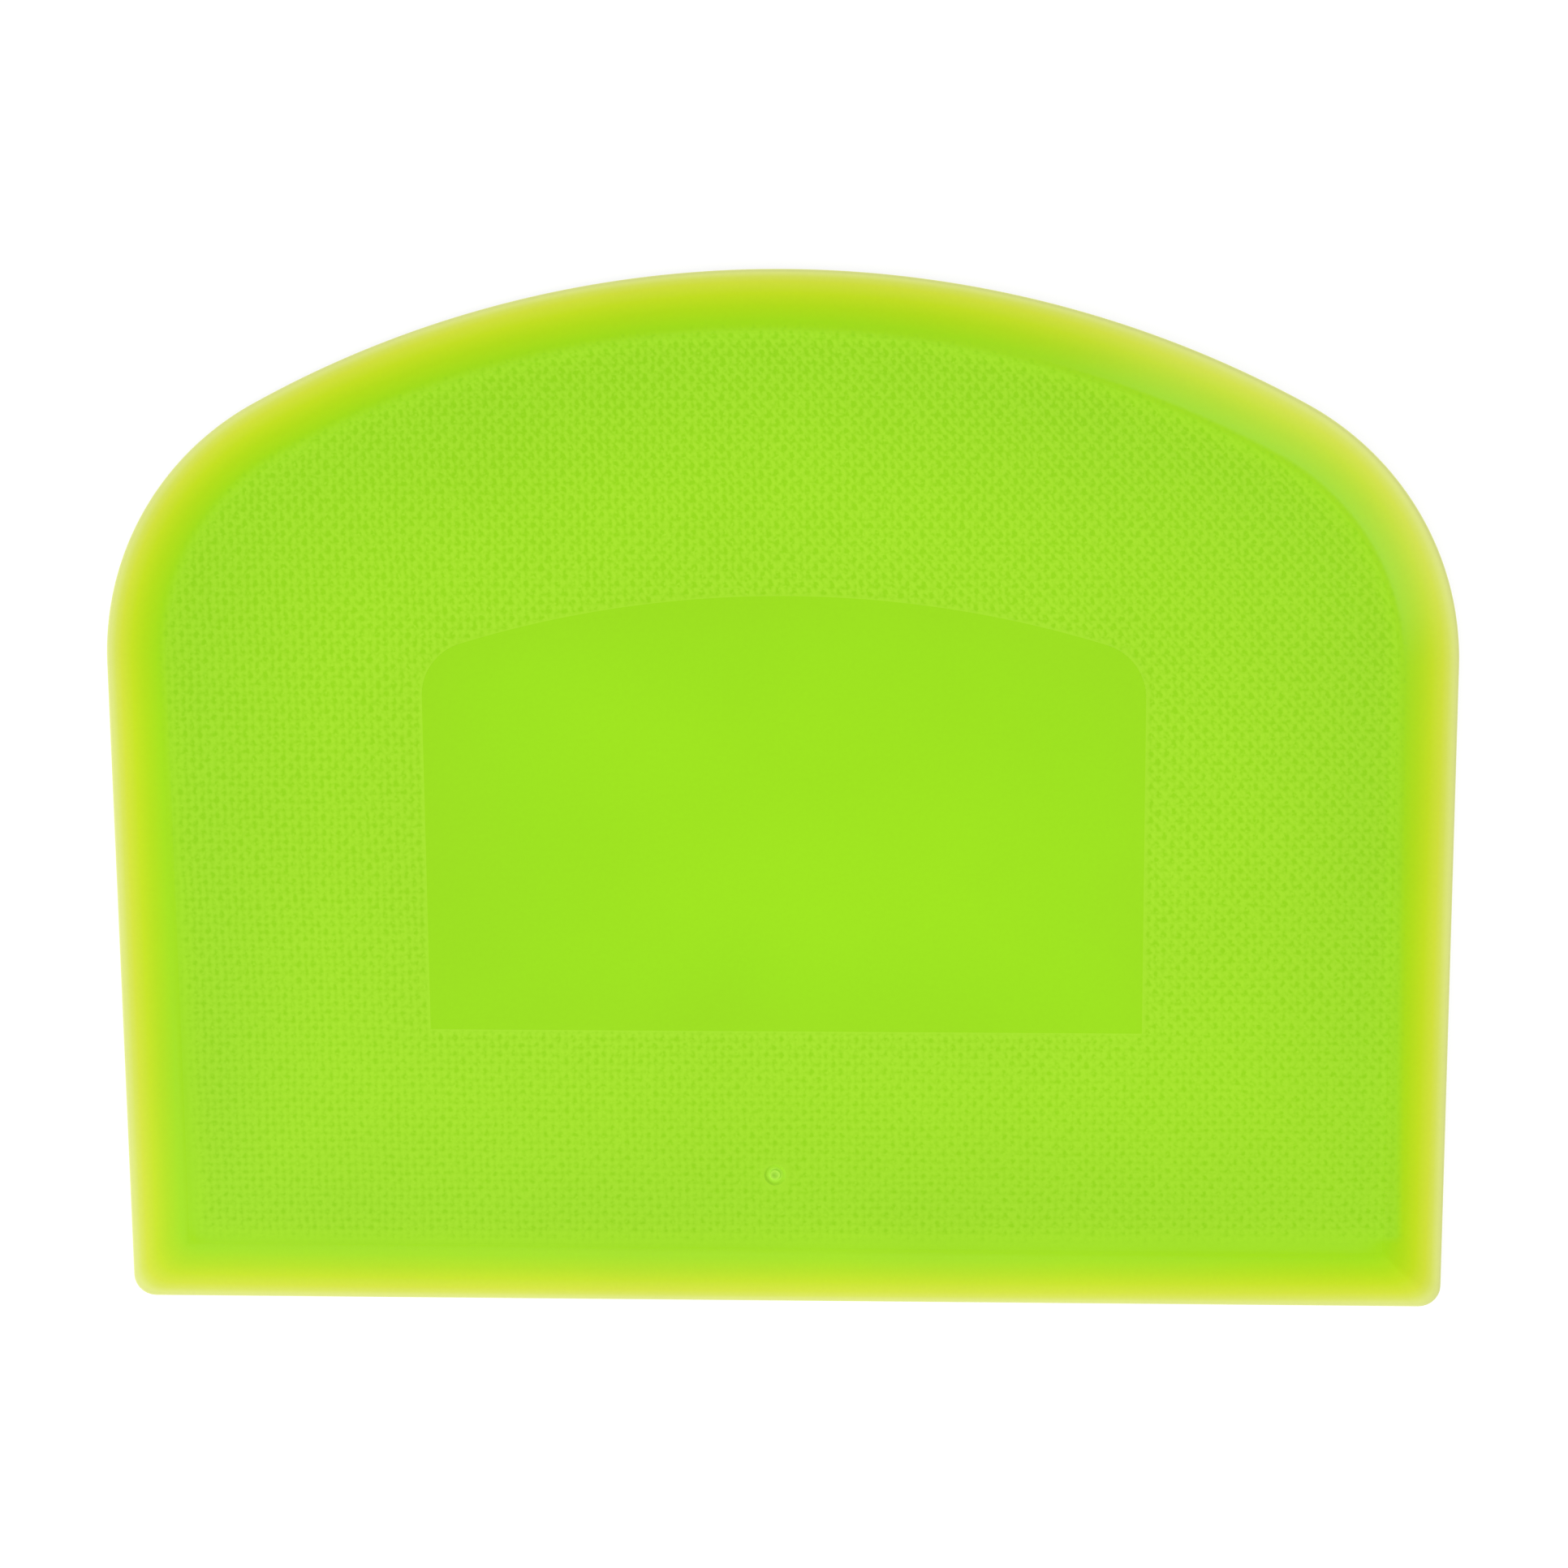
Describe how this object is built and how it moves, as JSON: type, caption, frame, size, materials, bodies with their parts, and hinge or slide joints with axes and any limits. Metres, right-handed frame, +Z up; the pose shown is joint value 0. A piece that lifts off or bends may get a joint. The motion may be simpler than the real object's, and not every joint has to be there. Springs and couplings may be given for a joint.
{
  "type": "bowl scraper",
  "caption": "Flexible D-shaped plastic bowl scraper with a bevelled edge all round, a textured grip face and a smooth bare panel.",
  "frame": {"origin": "middle of the underside, on the surface that the scraper lies on", "axes": "+X to the right along the straight edge, +Y from the straight edge towards the dome, +Z up through the thickness, out of the face with the smooth panel"},
  "size_m": [0.1206, 0.0952, 0.002],
  "materials": {
    "textured_plastic": "translucent lime green, fine staggered dimples, satin",
    "smooth_plastic": "translucent lime green, smooth, low gloss",
    "edge_plastic": "translucent, lime green fading to pale yellow where it thins towards the edge, smooth",
    "stub_plastic": "pale torn plastic"
  },
  "bodies": {
    "root": {"grip_plate": "textured_plastic", "smooth_panel": "smooth_plastic", "dome_blade": "edge_plastic", "left_shoulder": "edge_plastic", "right_shoulder": "edge_plastic", "left_edge": "edge_plastic", "right_edge": "edge_plastic", "straight_blade": "edge_plastic", "gate_stub": "stub_plastic"}
  },
  "joints": []
}
